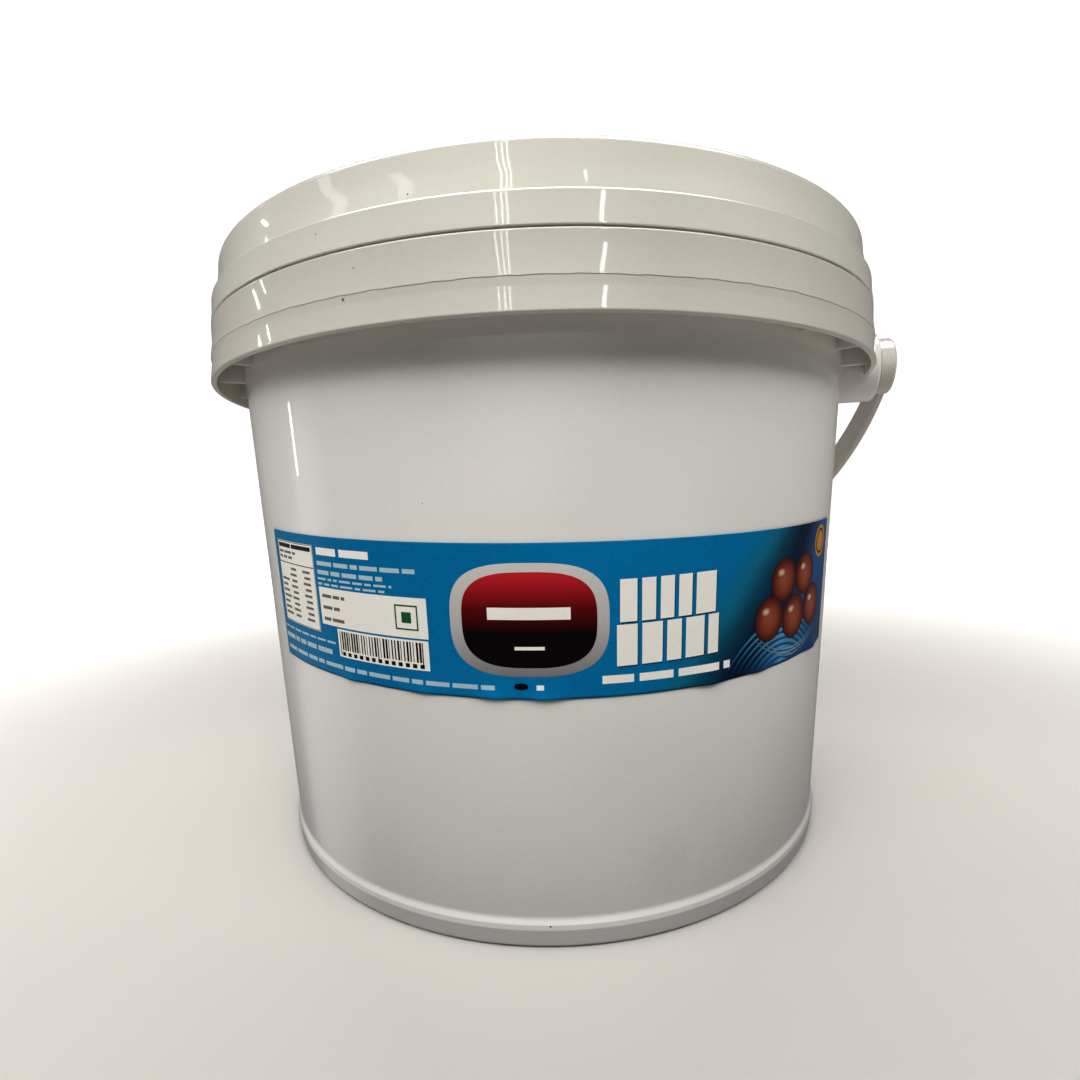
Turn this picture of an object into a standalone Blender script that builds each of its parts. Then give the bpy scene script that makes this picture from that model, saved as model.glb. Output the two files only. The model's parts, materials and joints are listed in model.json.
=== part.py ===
"""Round plastic food pail, full and shut: pail, snap lid, wrap label and bail handle.

Units are metres and +Z is up. The origin is the centre of the underside.
The bail's hinge axis runs along X through both ears. The bail hangs down at the back (+Y),
leaning on the wall, and swings up over the lid to the front. The label is wrapped round the
front (-Y), a little towards +X.
"""
import math

import bmesh
import bpy
from mathutils import Matrix

COLLECTION = "food_pail"
CUTTERS = "cutters"

# ---- driving dimensions ----
HEIGHT = 0.2419             # underside to the top of the lid
FOOT_R = 0.1268             # radius of the flat underside's edge
COLLAR_R = 0.1498           # largest radius, at the bottom of the collar
SEGMENTS = 72               # facets round every turned piece
GAP = 0.0003                # left between pieces that touch

# ---- the wall: a slow cone, wider at the top ----
WALL_LOW_Z = 0.0100
WALL_LOW_R = 0.1272
WALL_HIGH_Z = 0.1946
WALL_HIGH_R = 0.1373
WALL_SLOPE = (WALL_HIGH_R - WALL_LOW_R) / (WALL_HIGH_Z - WALL_LOW_Z)

# ---- the foot: a low rounded bead over a short plain ring ----
BEAD_Z = 0.0076
BEAD_R = 0.1283
BEAD_RISE = 0.0007          # height of the bead's upper slope
BEAD_SLOPE_R = 0.0003
FOOT_OUT = 0.0006           # the ring under the bead stands this far outside the flat edge
EDGE_ROUND = 0.0012

# ---- the collar: two bands with a small step, open underneath, with radial ribs ----
COLLAR_TOP = 0.2164
COLLAR_TOP_R = 0.1483
LIP_TOP = 0.2169            # a low lip inside the collar's edge, just under the lid
LIP_IN = 0.0012
COLLAR_ROUND = 0.0009
STEP_Z = 0.2041
STEP_OUT = 0.0003           # the upper band stands this far over the lower one
STEP_HALF = 0.0003          # half the height over which the step turns
SKIRT_Z = 0.1946
SKIRT_WALL = 0.0021
SKIRT_ROUND = 0.0008
GROOVE_TOP = 0.2085
GROOVE_ROUND = 0.0015
GROOVE_DRAFT = 0.0008       # the skirt's inner face leans in by this much
RIB_COUNT = 24
RIB_WIDTH = 0.0016
RIB_LIFT = 0.0034           # the ribs end this far above the skirt's edge
RIB_FIRST_DEG = 7.5
RIB_BITE = 0.0010           # how far a rib reaches into the wall and the groove's top
RIB_OUTER_BITE = 0.0006     # and into the thin skirt

# ---- the neck inside the lid ----
NECK_R = 0.1392
NECK_TOP = 0.2352
NECK_BEVEL = 0.0010

# ---- the lid: two bands with a narrow ledge between them, and a sunk panel on top ----
LID_EDGE_Z = 0.2172
LID_EDGE_R = 0.1482
LID_EDGE_ROUND = 0.0006
LID_LEDGE_Z = 0.2265
LID_LEDGE_R = 0.1480
LID_LEDGE_ROUND = 0.0008
LID_LEDGE_WIDTH = 0.0012
LID_TOP_R = 0.1438
LID_CORNER = 0.0026
LID_RIM_WIDTH = 0.0105
LID_RIM_ROUND = 0.0010
LID_PANEL_DEPTH = 0.0040
LID_PANEL_SLOPE = 0.0035    # width of the slope from the rim down to the panel

# ---- the label: a straight strip wrapped round the cone, so its ends rise ----
LABEL_MID_DEG = -78.0       # where the strip runs level with the underside
LABEL_LEFT = -0.1120        # arc length from there to the left end
LABEL_RIGHT = 0.1326
LABEL_LOW_Z = 0.0851
LABEL_HIGH_Z = 0.1337
LABEL_TILT = -0.0138
LABEL_R = 0.1326            # wall radius that the arc lengths are measured on
LABEL_THICK = 0.0003
LABEL_COLUMNS = 28
LABEL_ROWS = 2

# ---- the ears and the bail ----
HINGE_Z = 0.2000
EAR_R = 0.0150
EAR_FACE_X = 0.1535
EAR_BITE = 0.0020           # how far an ear reaches into the wall
BORE_R = 0.0054
BORE_END_X = 0.1430
BORE_OVERRUN = 0.0050
PIN_R = 0.0050
PIN_END_X = 0.1445
PIN_BITE = 0.0010           # how far a pin reaches into its hub
ROUND_SEGMENTS = 32         # facets round the pins, hubs, ears and bores
HUB_R = 0.0120
HUB_INNER_X = 0.1541
BAIL_HALF_WIDTH = 0.1585    # hinge axis direction, to the middle of the strap
BAIL_REACH = 0.1820         # from the hinge axis to the middle of the grip
BAIL_HANG_DEG = 41.0        # how far the bail hangs below level
STRAP_WIDTH = 0.0144
STRAP_THICK = 0.0030
STRAP_STEPS = 40

# sRGB colours of the mouldings and the label
SHELL_WHITE = (0.815, 0.800, 0.765)
LID_WHITE = (0.835, 0.820, 0.780)
LABEL_BLUE = (0.015, 0.345, 0.515)


def clear_scene():
    for thing in list(bpy.data.objects):
        bpy.data.objects.remove(thing, do_unlink=True)


def make_collection(name):
    group = bpy.data.collections.new(name)
    bpy.context.scene.collection.children.link(group)
    return group


def to_linear(channel):
    if channel <= 0.04045:
        return channel / 12.92
    return ((channel + 0.055) / 1.055) ** 2.4


def plastic(name, colour, roughness):
    """Moulded plastic: one colour, a dull gloss, no metal."""
    material = bpy.data.materials.new(name)
    material.use_nodes = True
    shader = material.node_tree.nodes["Principled BSDF"]
    shader.inputs["Base Color"].default_value = [to_linear(c) for c in colour] + [1.0]
    shader.inputs["Roughness"].default_value = roughness
    shader.inputs["Metallic"].default_value = 0.0
    return material


def add_object(name, mesh, collection, material=None):
    thing = bpy.data.objects.new(name, mesh)
    collection.objects.link(thing)
    if material:
        mesh.materials.append(material)
    return thing


def arc(centre_r, centre_z, radius, start_deg, end_deg, steps=3):
    """Points (r, z) of a round corner, from one angle to the other."""
    points = []
    for index in range(steps + 1):
        angle = math.radians(start_deg + (end_deg - start_deg) * index / steps)
        points.append((centre_r + radius * math.cos(angle), centre_z + radius * math.sin(angle)))
    return points


def wall_radius(z):
    return WALL_LOW_R + WALL_SLOPE * (z - WALL_LOW_Z)


def turned(name, profile, collection, material):
    """A closed solid of revolution: the profile runs down its outer side, axis to axis."""
    mesh = bpy.data.meshes.new(name)
    points = [(r, 0.0, z) for r, z in profile]
    mesh.from_pydata(points, [(i, i + 1) for i in range(len(points) - 1)], [])
    thing = add_object(name, mesh, collection, material)
    screw = thing.modifiers.new("turn", 'SCREW')
    screw.axis = 'Z'
    screw.steps = SEGMENTS
    screw.render_steps = SEGMENTS
    screw.use_merge_vertices = True
    screw.merge_threshold = 0.00005
    screw.use_smooth_shade = True
    return thing


def pail_profile():
    """Neck, collar, skirt, groove under the collar, wall, bead, foot and underside."""
    collar_slope = (COLLAR_R - COLLAR_TOP_R) / (COLLAR_TOP - SKIRT_Z)
    step_r = COLLAR_TOP_R + collar_slope * (COLLAR_TOP - STEP_Z)
    skirt_r = COLLAR_R - SKIRT_WALL
    groove_side = GROOVE_TOP - GROOVE_ROUND
    points = [(0.0, NECK_TOP), (NECK_R - NECK_BEVEL, NECK_TOP), (NECK_R, NECK_TOP - NECK_BEVEL)]
    points += [(NECK_R, LIP_TOP), (COLLAR_TOP_R - LIP_IN, LIP_TOP)]
    points += [(COLLAR_TOP_R - LIP_IN, COLLAR_TOP)]
    points += arc(COLLAR_TOP_R - COLLAR_ROUND, COLLAR_TOP - COLLAR_ROUND, COLLAR_ROUND, 90, 0, 2)
    points += [(step_r, STEP_Z + STEP_HALF), (step_r - STEP_OUT, STEP_Z - STEP_HALF)]
    points += arc(COLLAR_R - SKIRT_ROUND, SKIRT_Z + SKIRT_ROUND, SKIRT_ROUND, 0, -90, 2)
    points += [(skirt_r, SKIRT_Z), (skirt_r - GROOVE_DRAFT, groove_side)]
    points += [(skirt_r - GROOVE_DRAFT - GROOVE_ROUND, GROOVE_TOP)]
    points += [(wall_radius(GROOVE_TOP) + GROOVE_ROUND, GROOVE_TOP)]
    points += [(wall_radius(groove_side), groove_side), (WALL_LOW_R, WALL_LOW_Z)]
    points += [(WALL_LOW_R + BEAD_SLOPE_R, BEAD_Z + EDGE_ROUND)]
    points += [(BEAD_R - BEAD_SLOPE_R, BEAD_Z + BEAD_RISE), (BEAD_R, BEAD_Z)]
    points += arc(FOOT_R - EDGE_ROUND + FOOT_OUT, EDGE_ROUND, EDGE_ROUND, 0, -90, 2)
    points += [(0.0, 0.0)]
    return points


def lid_profile():
    """Sunk panel, rim, two outer bands with a ledge between them, and the inside of the lid."""
    rim_r = LID_TOP_R - LID_RIM_WIDTH
    panel_z = HEIGHT - LID_PANEL_DEPTH
    points = [(0.0, panel_z), (rim_r - LID_PANEL_SLOPE, panel_z)]
    points += arc(rim_r + LID_RIM_ROUND, HEIGHT - LID_RIM_ROUND, LID_RIM_ROUND, 180, 90, 2)
    points += arc(LID_TOP_R - LID_CORNER, HEIGHT - LID_CORNER, LID_CORNER, 90, 10, 3)
    points += [(LID_LEDGE_R - LID_LEDGE_WIDTH, LID_LEDGE_Z)]
    points += arc(LID_LEDGE_R - LID_LEDGE_ROUND, LID_LEDGE_Z - LID_LEDGE_ROUND, LID_LEDGE_ROUND,
                  90, 0, 2)
    points += arc(LID_EDGE_R - LID_EDGE_ROUND, LID_EDGE_Z + LID_EDGE_ROUND, LID_EDGE_ROUND,
                  0, -90, 2)
    points += [(NECK_R + GAP, LID_EDGE_Z), (NECK_R + GAP, NECK_TOP - NECK_BEVEL + GAP)]
    points += [(NECK_R - NECK_BEVEL + GAP, NECK_TOP + GAP), (0.0, NECK_TOP + GAP)]
    return points


def cylinder_x(name, radius, x_from, x_to, z, collection):
    """A round bar along X between two stations."""
    mesh = bpy.data.meshes.new(name)
    form = bmesh.new()
    bmesh.ops.create_cone(form, cap_ends=True, segments=ROUND_SEGMENTS, radius1=radius,
                          radius2=radius, depth=abs(x_to - x_from),
                          matrix=Matrix.Translation(((x_from + x_to) / 2, 0.0, z))
                          @ Matrix.Rotation(math.radians(90), 4, 'Y'))
    form.to_mesh(mesh)
    form.free()
    return add_object(name, mesh, collection)


def hide_tool(thing):
    thing.hide_render = True
    thing.display_type = 'WIRE'


def boolean(target, tool, operation):
    step = target.modifiers.new(operation.lower() + "_" + tool.name, 'BOOLEAN')
    step.operation = operation
    step.solver = 'EXACT'
    step.object = tool


def rib_block(cutters):
    """One mesh with every radial rib under the collar, each from the wall to the skirt."""
    low_z = SKIRT_Z + RIB_LIFT
    high_z = GROOVE_TOP + RIB_BITE
    inner_r = wall_radius(low_z) - RIB_BITE
    outer_r = COLLAR_R - SKIRT_WALL + RIB_OUTER_BITE
    form = bmesh.new()
    for index in range(RIB_COUNT):
        turn = Matrix.Rotation(math.radians(RIB_FIRST_DEG + 360.0 / RIB_COUNT * index), 4, 'Z')
        place = Matrix.Translation(((inner_r + outer_r) / 2, 0.0, (low_z + high_z) / 2))
        size = Matrix.Diagonal((outer_r - inner_r, RIB_WIDTH, high_z - low_z, 1.0))
        bmesh.ops.create_cube(form, size=1.0, matrix=turn @ place @ size)
    mesh = bpy.data.meshes.new("ribs")
    form.to_mesh(mesh)
    form.free()
    tool = add_object("ribs", mesh, cutters)
    hide_tool(tool)
    return tool


def add_ears(pail, cutters):
    """A round ear on each side of the collar, with a blind bore for the bail's pin."""
    root_x = WALL_HIGH_R - EAR_BITE
    for side, sign in (("right", 1.0), ("left", -1.0)):
        ear = cylinder_x("ear_" + side, EAR_R, sign * root_x, sign * EAR_FACE_X, HINGE_Z, cutters)
        bore = cylinder_x("bore_" + side, BORE_R, sign * BORE_END_X,
                          sign * (EAR_FACE_X + BORE_OVERRUN), HINGE_Z, cutters)
        for tool, operation in ((ear, 'UNION'), (bore, 'DIFFERENCE')):
            hide_tool(tool)
            boolean(pail, tool, operation)


def label_point(arc_length, rise):
    """Angle and height on the wall of a point of the strip.

    On an unrolled cone a straight strip bends away from the level circle by the square of
    the arc length over twice the cone's slant length.
    """
    slant = LABEL_R / math.sin(math.atan(WALL_SLOPE))
    z = LABEL_LOW_Z + rise + arc_length ** 2 / (2 * slant) + LABEL_TILT * arc_length
    angle = math.radians(LABEL_MID_DEG) + arc_length / LABEL_R
    return angle, z


def make_label(collection):
    """The strip's inner face as a grid, thickened outwards."""
    form = bmesh.new()
    rows = []
    for level in range(LABEL_ROWS + 1):
        row = []
        for column in range(LABEL_COLUMNS + 1):
            length = LABEL_LEFT + (LABEL_RIGHT - LABEL_LEFT) * column / LABEL_COLUMNS
            angle, z = label_point(length, (LABEL_HIGH_Z - LABEL_LOW_Z) * level / LABEL_ROWS)
            radius = wall_radius(z) + GAP
            row.append(form.verts.new((radius * math.cos(angle), radius * math.sin(angle), z)))
        rows.append(row)
    for low, high in zip(rows, rows[1:]):
        for column in range(LABEL_COLUMNS):
            form.faces.new((low[column], low[column + 1], high[column + 1], high[column]))
    mesh = bpy.data.meshes.new("label")
    form.to_mesh(mesh)
    form.free()
    label = add_object("label", mesh, collection, plastic("printed_film", LABEL_BLUE, 0.35))
    thicken = label.modifiers.new("thickness", 'SOLIDIFY')
    thicken.thickness = LABEL_THICK
    thicken.offset = 1.0
    return label


def make_strap(name, collection, material):
    """Half an ellipse of flat strap in its own plane, from hub to hub, thickened both ways.

    Its own axes are X along the hinge, Y towards the grip and Z across the strap.
    """
    form = bmesh.new()
    rows = []
    for side in (-0.5, 0.5):
        row = []
        for step in range(STRAP_STEPS + 1):
            angle = math.pi * step / STRAP_STEPS
            row.append(form.verts.new((BAIL_HALF_WIDTH * math.cos(angle),
                                       BAIL_REACH * math.sin(angle), side * STRAP_WIDTH)))
        rows.append(row)
    for step in range(STRAP_STEPS):
        form.faces.new((rows[0][step], rows[0][step + 1], rows[1][step + 1], rows[1][step]))
    mesh = bpy.data.meshes.new(name)
    form.to_mesh(mesh)
    form.free()
    strap = add_object(name, mesh, collection, material)
    thicken = strap.modifiers.new("thickness", 'SOLIDIFY')
    thicken.thickness = STRAP_THICK
    thicken.offset = 0.0
    thicken.use_even_offset = True
    return strap


def make_bail(collection, cutters):
    """The strap with a round hub and a pin at each end, hung at the back of the pail."""
    bail = make_strap("bail", collection, plastic("handle_plastic", SHELL_WHITE, 0.40))
    for side, sign in (("right", 1.0), ("left", -1.0)):
        hub_outer_x = BAIL_HALF_WIDTH + STRAP_THICK / 2 + GAP
        hub = cylinder_x("hub_" + side, HUB_R, sign * HUB_INNER_X, sign * hub_outer_x, 0.0, cutters)
        pin = cylinder_x("pin_" + side, PIN_R, sign * PIN_END_X, sign * (HUB_INNER_X + PIN_BITE),
                         0.0, cutters)
        for tool in (hub, pin):
            hide_tool(tool)
            boolean(bail, tool, 'UNION')
            tool.parent = bail
    bail.location = (0.0, 0.0, HINGE_Z)
    bail.rotation_euler = (math.radians(-BAIL_HANG_DEG), 0.0, 0.0)
    return bail


def main():
    clear_scene()
    parts = make_collection(COLLECTION)
    cutters = make_collection(CUTTERS)
    shell = plastic("pail_plastic", SHELL_WHITE, 0.32)
    pail = turned("pail", pail_profile(), parts, shell)
    boolean(pail, rib_block(cutters), 'UNION')
    add_ears(pail, cutters)
    turned("lid", lid_profile(), parts, plastic("lid_plastic", LID_WHITE, 0.30))
    make_label(parts)
    make_bail(parts, cutters)


main()
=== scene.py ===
"""A shut plastic food pail with its lid, wrap label and strap handle, in a plain studio.

Everything is in metres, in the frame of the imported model: +Z up, origin at the middle of the
underside, the handle's hinge along X, the handle hanging at the back (+Y) and the label wrapped
round the front (-Y).
"""
import json
import math

import bmesh
import bpy
import numpy as np
from bpy.props import FloatProperty, FloatVectorProperty, IntProperty, PointerProperty
from mathutils import Matrix, Vector


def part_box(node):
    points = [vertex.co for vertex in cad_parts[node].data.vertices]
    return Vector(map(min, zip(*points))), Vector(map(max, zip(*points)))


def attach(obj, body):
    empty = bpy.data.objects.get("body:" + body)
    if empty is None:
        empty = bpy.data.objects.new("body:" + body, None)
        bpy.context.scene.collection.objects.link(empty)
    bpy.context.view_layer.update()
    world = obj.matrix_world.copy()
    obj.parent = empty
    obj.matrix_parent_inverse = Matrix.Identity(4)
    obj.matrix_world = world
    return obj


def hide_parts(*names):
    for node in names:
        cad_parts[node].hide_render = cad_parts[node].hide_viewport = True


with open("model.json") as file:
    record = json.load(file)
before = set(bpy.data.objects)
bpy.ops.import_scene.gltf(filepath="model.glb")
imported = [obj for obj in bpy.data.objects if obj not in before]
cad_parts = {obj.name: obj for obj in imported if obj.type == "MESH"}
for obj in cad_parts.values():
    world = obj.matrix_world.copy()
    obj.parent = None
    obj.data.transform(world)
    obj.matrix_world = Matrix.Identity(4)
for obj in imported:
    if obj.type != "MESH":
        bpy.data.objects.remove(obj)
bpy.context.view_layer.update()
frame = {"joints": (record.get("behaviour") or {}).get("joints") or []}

bl_info = {
    "name": "Food Pail",
    "version": (1, 0, 0),
    "blender": (4, 5, 0),
    "location": "3D View > Sidebar > Food Pail",
    "description": "Moulded pail, snap lid, printed wrap label and strap handle",
    "category": "Add Mesh",
}

MM = 0.001
TURN = 2 * math.pi

# ---- places taken from the frame, and a worn patch low on the wall, in metres ----
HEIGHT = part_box("lid")[1][2]
COLLAR_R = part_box("pail")[1][1]
HINGE = frame["joints"][0]["pos_m"]
HANDLE_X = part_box("bail")[1][0]
SCUFF_AT = (0.0645, -0.1105, 0.026)

# ---- the pail, as the solids have it, in millimetres from the axis and the underside ----
WALL_LOW = (127.2, 10.0)
WALL_HIGH = (137.3, 194.6)
WALL_SLOPE = (WALL_HIGH[0] - WALL_LOW[0]) / (WALL_HIGH[1] - WALL_LOW[1])
FOOT_R = 126.8
BEAD_R = 128.3
BEAD_Z = 7.6
COLLAR_TOP_R = 148.3
COLLAR_TOP = 216.4
LIP_TOP = 216.9
LIP_R = COLLAR_TOP_R - 0.9
SKIRT_Z = 194.6
SKIRT_WALL = 2.1
STEP_Z = 204.1
STEP_R = np.interp(STEP_Z, (SKIRT_Z, COLLAR_TOP), (COLLAR_R / MM, COLLAR_TOP_R))
STEP_OUT = 0.12
GROOVE_TOP = 208.5
NECK_R = 139.2
NECK_TOP = 235.2
RIB_COUNT = 24
RIB_WIDTH = 1.6
RIB_LIFT = 3.4
RIB_BITE = (0.5, 0.4)       # how far a rib runs into the wall and into the skirt
RIB_FIRST_DEG = 7.5
COLLAR_SINK = (0.25, 0.38)  # how hollow the lower and the upper band are
# waves round the pail in the parting line, and in the torn sliver along it
FLASH_COUNTS = (6, 13, 29, 61, 97, 151)
TEAR_COUNTS = (5, 23, 47, 101, 160)
# height from which the wall has slow waves, and the height over which they turn by a radian
WAVE_FROM = 20.0
WAVE_PITCH = 38.0

# ---- the lid ----
LID_EDGE_Z = 216.95
LID_BAND_R = 148.2
LID_STEP_Z = 225.8
LID_TOP_R = 143.8
LID_RIM_WIDTH = 10.5
LID_PANEL_DEPTH = 4.0
LID_GAP = 0.3               # between the lid's inside and the neck
LID_SINK = (0.18, 0.50)     # how hollow the lower and the upper band are

# ---- ears and handle ----
EAR_R = 15.0
EAR_FACE_X = 153.5
BORE_R = 5.4
BORE_END_X = 143.0
PIN_R = 5.0
PIN_END_X = 144.5
HUB_R = 12.0
HUB_INNER_X = 154.1
HANDLE_HALF_WIDTH = 158.5
HANDLE_REACH = 182.0
HANDLE_HANG = math.radians(41.0)
STRAP_WIDTH = 14.4
STRAP_THICK = 3.0

# ---- the label: arc length runs along it, rise runs up it ----
LABEL_MID = math.radians(-78.0)
LABEL_LEFT = -112.0
LABEL_RIGHT = 132.6
LABEL_LOW_Z = 85.1
LABEL_HEIGHT = 48.6
LABEL_TILT = -0.0138
LABEL_R = 132.6
FILM_THICK = 0.12
FILM_CLEAR = 0.25
INK_LIFT = 0.03
# where the lower edge stands off: arc length, width, share of the whole pucker
PUCKERS = ((-66, 4.0, 0.7), (-37, 5.0, 0.6), (-13, 4.5, 0.9), (3, 5.5, 1.0), (58, 5.0, 1.0),
           (80, 4.0, 0.6), (118, 6.0, 1.1))
# fields of print: left, right, low, high
TABLE = (-108.4, -80.8, 14.3, 44.9)
DATA_PANEL = (-79.2, -33.4, 17.7, 30.8)
CODE_FIELD = (-71.2, -33.6, 7.4, 17.1)
MARK = (-45.0, -36.7, 20.2, 28.3)
# lines of bars: left, right, low, high, seed, mean length, gap
TABLE_LINES = ((-107.2, -93.0, 40.3, 41.2, 1, 4.0, 1.0), (-107.2, -96.0, 38.4, 39.3, 2, 4.0, 1.0))
DATA_LINES = ((-77.6, -66.0, 27.3, 28.4, 27, 4.2, 0.8), (-77.6, -68.8, 23.3, 24.4, 23, 4.2, 0.8),
              (-77.6, -66.8, 19.3, 20.4, 19, 4.2, 0.8))
PALE_LINES = ((-78.8, -35.8, 38.3, 39.8, 41, 5.5, 1.0), (-79.0, -48.6, 35.2, 36.7, 42, 5.0, 1.0),
              (-79.2, -45.4, 33.3, 34.1, 43, 4.0, 1.0), (-79.2, -47.0, 31.5, 32.3, 44, 4.0, 1.0),
              (-111.0, -73.0, 11.2, 12.0, 45, 4.0, 1.0), (-110.5, -75.0, 7.2, 9.0, 46, 6.0, 1.0),
              (-109.5, -12.6, 2.8, 4.3, 47, 6.5, 1.0))
COUNT_LINE = (-15.0, 2.6, 3.0, 4.6, 31, 4.0, 1.0)
SLOGAN_LINE = (20.6, 65.8, 4.3, 6.9, 33, 11.0, 1.8)
# rows of title blocks: low, left, right, how far the row rises, height of a block
TITLE_ROWS = ((23.4, 26.2, 60.6, 0.6, 13.3), (9.6, 25.2, 62.0, 0.8, 13.0))
BADGE_MID = (-1.4, 24.8)
BADGE_POWER = 3.0
# the picture's rounds, the far row above the near row, and its disc: arc length, rise, radius
FAR_ROUNDS = ((92.3, 30.0, 7.8), (107.7, 30.2, 7.8))
NEAR_ROUNDS = ((84.5, 17.5, 7.9), (100.0, 16.0, 8.1), (115.5, 17.5, 7.9))
DISC = (122.0, 40.5, 6.2)


def rgb(code):
    """An sRGB hex colour as linear red, green and blue."""
    channels = [int(code[i:i + 2], 16) / 255 for i in (1, 3, 5)]
    return [c / 12.92 if c <= 0.04045 else ((c + 0.055) / 1.055) ** 2.4 for c in channels]


# ---------------------------------------------------------------- settings

class PailLooks(bpy.types.PropertyGroup):
    """Colours and small shapes of the mouldings."""
    shell: FloatVectorProperty(name="Pail plastic", description="Warm white of the pail",
                               subtype='COLOR', size=3, min=0, max=1, default=rgb("#eeece8"))
    # Painted shade: the collar is the same plastic as the wall. It is given this darker colour so
    # that it comes out no brighter than the wall under the lights.
    collar: FloatVectorProperty(name="Collar", description="The pail's collar, dulled by hands",
                                subtype='COLOR', size=3, min=0, max=1, default=rgb("#d2cfc6"))
    lid: FloatVectorProperty(name="Lid plastic", description="Warm white of the lid",
                             subtype='COLOR', size=3, min=0, max=1, default=rgb("#dbd9cf"))
    handle: FloatVectorProperty(name="Handle plastic", description="Warm white of the strap",
                                subtype='COLOR', size=3, min=0, max=1, default=rgb("#d6d3cc"))
    segments: IntProperty(name="Steps round", description="Facets round the turned pieces",
                          default=360, min=90, max=720)
    flash: FloatProperty(name="Flash", description="How ragged the mould's parting line is",
                         default=0.20 * MM, min=0, max=1 * MM, unit='LENGTH')
    unevenness: FloatProperty(name="Unevenness", description="Slow waves left by cooling",
                              default=0.10 * MM, min=0, max=1 * MM, unit='LENGTH')


class LabelLooks(bpy.types.PropertyGroup):
    """Colours of the label's film and inks, and how it lies."""
    field: FloatVectorProperty(name="Ground", description="Blue ground of the label",
                               subtype='COLOR', size=3, min=0, max=1, default=rgb("#0780b0"))
    night: FloatVectorProperty(name="Dark end", description="Navy of the label's right end",
                               subtype='COLOR', size=3, min=0, max=1, default=rgb("#0b2742"))
    white: FloatVectorProperty(name="White ink", description="Warm white of panels and bars",
                               subtype='COLOR', size=3, min=0, max=1, default=rgb("#faf7ef"))
    pucker: FloatProperty(name="Pucker", description="How far the lower edge stands off",
                          default=1.0 * MM, min=0, max=3 * MM, unit='LENGTH')


class StageLooks(bpy.types.PropertyGroup):
    """The studio."""
    # Painted shade: the paper near the pail is a darker tone than the backdrop paper, a soft pool
    # of shade round the pail.
    floor: FloatVectorProperty(name="Floor", description="Paper near the pail",
                               subtype='COLOR', size=3, min=0, max=1, default=rgb("#d6d3cf"))
    key: FloatProperty(name="Light", description="Power that every light takes a share of",
                       default=6.1, min=0, unit='POWER')
    far: FloatVectorProperty(name="Backdrop", description="Paper away from the pail",
                             subtype='COLOR', size=3, min=0, max=1, default=rgb("#e4e4e3"))
    backlight: FloatProperty(name="Backdrop light", description="How brightly it glows far away",
                             default=0.9, min=0)
    room: FloatProperty(name="Room", description="Brightness of the room that gloss shows",
                        default=1.0, min=0)


# ---------------------------------------------------------------- surfaces

def rounded_path(corners, step=4.0, arc_steps=5):
    """Points along a profile of straight runs with round corners.

    Each corner is (radius from the axis, height, fillet). A fillet's ends lie at
    fillet * tan(half the turn) before and after the corner, and its points sweep evenly between
    them. Each straight run also gets a point close to both of its ends, which keeps the shading
    flat along it, and points every step in between.
    """
    ends = np.array([corner[:2] for corner in corners], float)
    pieces = [ends[:1]]
    for index in range(1, len(corners) - 1):
        before, here, after = ends[index - 1:index + 2]
        into = (here - before) / np.linalg.norm(here - before)
        out = (after - here) / np.linalg.norm(after - here)
        turn = math.acos(np.clip(into @ out, -1, 1))
        fillet = corners[index][2]
        if fillet < 1e-6 or turn < 1e-3:
            pieces.append(here[None])
            continue
        back = fillet * math.tan(turn / 2)
        side = np.array([-into[1], into[0]]) * np.sign(into[0] * out[1] - into[1] * out[0])
        centre = here - back * into + fillet * side
        angle = np.linspace(0, turn, arc_steps + 1)[:, None]
        pieces.append(centre + fillet * (np.sin(angle) * into - np.cos(angle) * side))
    pieces.append(ends[-1:])
    points = [pieces[0]]
    for run_start, run_end in zip(pieces, pieces[1:]):
        a, b = run_start[-1], run_end[0]
        length = np.linalg.norm(b - a)
        hold = min(0.3, length / 3)
        if length > 0.05:
            count = max(2, int(length / step) + 1)
            along = np.linspace(hold, length - hold, count)[:, None] / length
            points.append(a + (b - a) * along)
        points.append(run_end)
    return np.concatenate(points)


def polar(radius, angle, height):
    """Points in metres from a radius and a height in millimetres and an angle round the axis."""
    places = np.broadcast_arrays(radius * np.cos(angle), radius * np.sin(angle), height)
    return np.stack(places, -1) * MM


def revolve(profile, segments, wave=None):
    """Turns a profile of (radius, height) in millimetres about Z into a grid of points.

    wave, where given, takes the angles and the profile and returns the change in radius and in
    height of every point of the grid.
    """
    angle = np.linspace(0, TURN, segments + 1)[:, None]
    radius = np.repeat(profile[None, :, 0], segments + 1, 0)
    height = np.repeat(profile[None, :, 1], segments + 1, 0)
    if wave is not None:
        out, up = wave(angle, profile)
        radius = radius + out
        height = height + up
    return polar(radius, angle, height)


def ripple(angle, seed, counts, strength):
    """A closed wave round the axis: a sum of sines with whole counts and seeded phases."""
    rng = np.random.default_rng(seed)
    total = np.zeros_like(angle)
    for count in counts:
        total = total + rng.uniform(0.4, 1.0) * np.sin(count * angle + rng.uniform(0, TURN))
    return strength * total / math.sqrt(len(counts))


def sink(height, low, high, depth):
    """How far a band's skin is drawn in where the plastic shrank: a half sine between its edges."""
    return -depth * np.sin(math.pi * np.clip((height - low) / (high - low), 0, 1))


def add_object(name, data):
    """Puts a mesh, light or camera into the scene as an object of its own."""
    item = bpy.data.objects.new(name, data)
    bpy.context.scene.collection.objects.link(item)
    return item


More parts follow.
